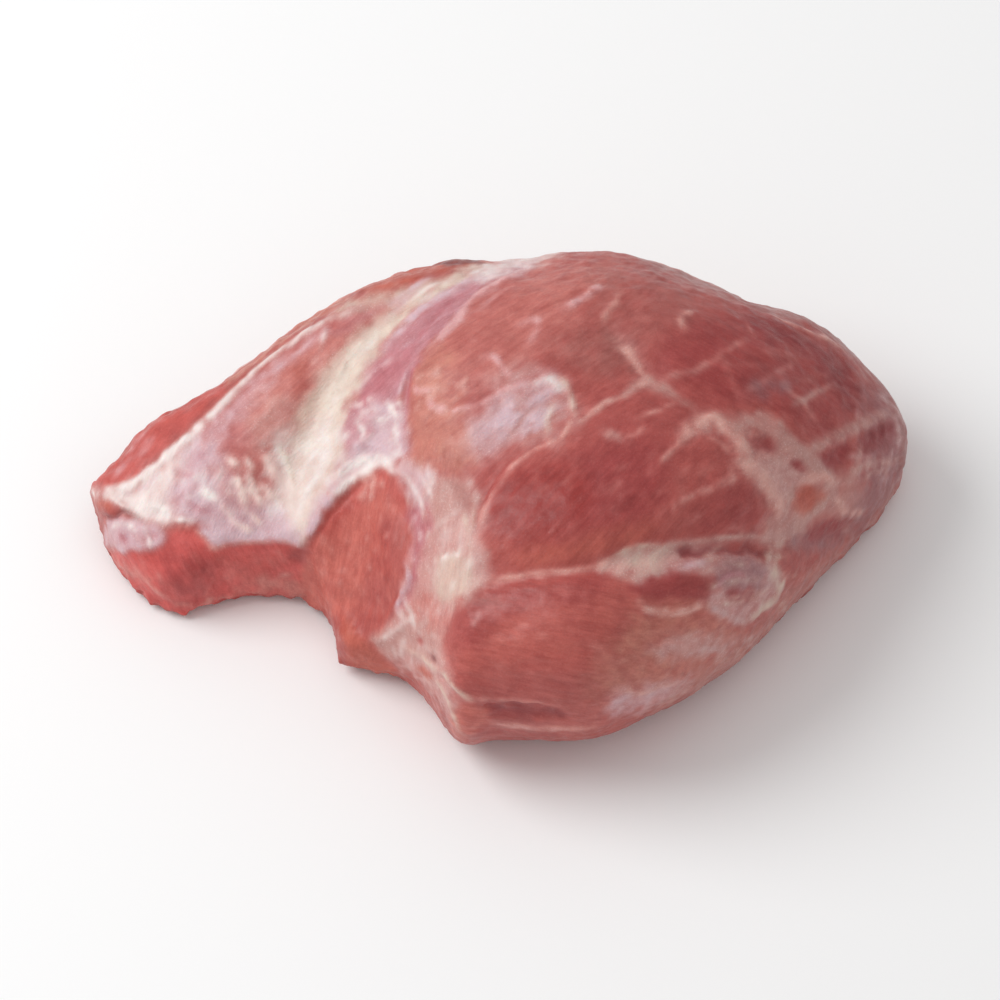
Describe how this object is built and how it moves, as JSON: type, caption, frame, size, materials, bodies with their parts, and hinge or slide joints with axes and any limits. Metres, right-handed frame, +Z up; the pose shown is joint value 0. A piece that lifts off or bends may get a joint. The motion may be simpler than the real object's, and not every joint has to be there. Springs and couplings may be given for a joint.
{
  "type": "raw boneless pork leg",
  "caption": "Raw boneless pork leg: one trimmed lump of meat, thick and round at one end, thin and tapered at the other, with a hollow where the thigh bone was taken out.",
  "frame": {"origin": "middle of the box around the meat, on the surface that it lies on", "axes": "+X towards the thick round end, +Y towards the back, away from the bone hollow, +Z up"},
  "size_m": [0.3666, 0.2422, 0.1232],
  "materials": {
    "meat": "satin"
  },
  "bodies": {
    "root": {"pork_leg": "meat"}
  },
  "joints": []
}
